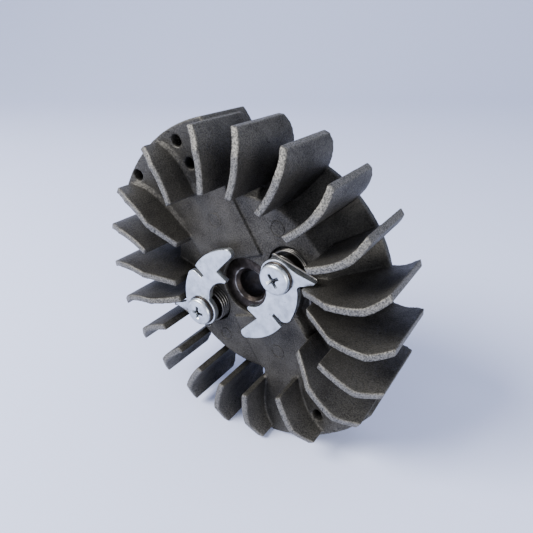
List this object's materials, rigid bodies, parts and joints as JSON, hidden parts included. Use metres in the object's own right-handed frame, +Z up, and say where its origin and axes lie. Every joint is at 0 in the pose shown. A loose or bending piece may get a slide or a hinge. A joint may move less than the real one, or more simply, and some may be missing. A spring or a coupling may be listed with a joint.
{
  "type": "engine flywheel",
  "caption": "Cast aluminium fan flywheel of a small two-stroke engine with curved blades, a tapered steel hub insert, ignition magnet and sprung starter pawls.",
  "frame": {"origin": "centre of the straight land of the crankshaft bore", "axes": "+Y along the wheel's axis towards the engine, -Y towards the starter; +Z up with the wheel standing on a corner of one pole sector and the next blade tip"},
  "size_m": [0.11, 0.0323, 0.1098],
  "materials": {
    "cast_aluminium": "as-cast, shot-blasted, lightly soiled",
    "dark_steel": "oiled, dark oxide",
    "zinc_plate": "bright zinc plate",
    "spring_wire": "drawn spring wire",
    "laminated_steel": "ground lamination stack",
    "magnet": "sintered, dark"
  },
  "bodies": {
    "wheel": {"flywheel_casting": "cast_aluminium", "crank_bush": "dark_steel", "ignition_magnet": "magnet", "pole_shoe_leading": "laminated_steel", "pole_shoe_trailing": "laminated_steel", "balance_weight": "laminated_steel", "pawl_spring_a": "spring_wire", "pivot_sleeve_a": "dark_steel", "pawl_washer_a": "dark_steel", "pivot_screw_a": "zinc_plate", "pawl_spring_b": "spring_wire", "pivot_sleeve_b": "dark_steel", "pawl_washer_b": "dark_steel", "pivot_screw_b": "zinc_plate"},
    "pawl_a": {"starter_pawl_a": "zinc_plate"},
    "pawl_b": {"starter_pawl_b": "zinc_plate"}
  },
  "joints": [
    {"name": "pawl_a_pivot", "type": "hinge", "parent": "wheel", "child": "pawl_a", "pos_m": [-0.01568, -0.01245, -0.01127], "axis": [0, -1, 0], "range_deg": [0, 18], "stiffness_Nm_per_rad": 0.012, "springref_deg": -28.65, "deforming": ["pawl_spring_a"]},
    {"name": "pawl_b_pivot", "type": "hinge", "parent": "wheel", "child": "pawl_b", "pos_m": [0.01568, -0.01245, 0.01127], "axis": [0, -1, 0], "range_deg": [0, 18], "stiffness_Nm_per_rad": 0.012, "springref_deg": -28.65, "deforming": ["pawl_spring_b"]}
  ]
}
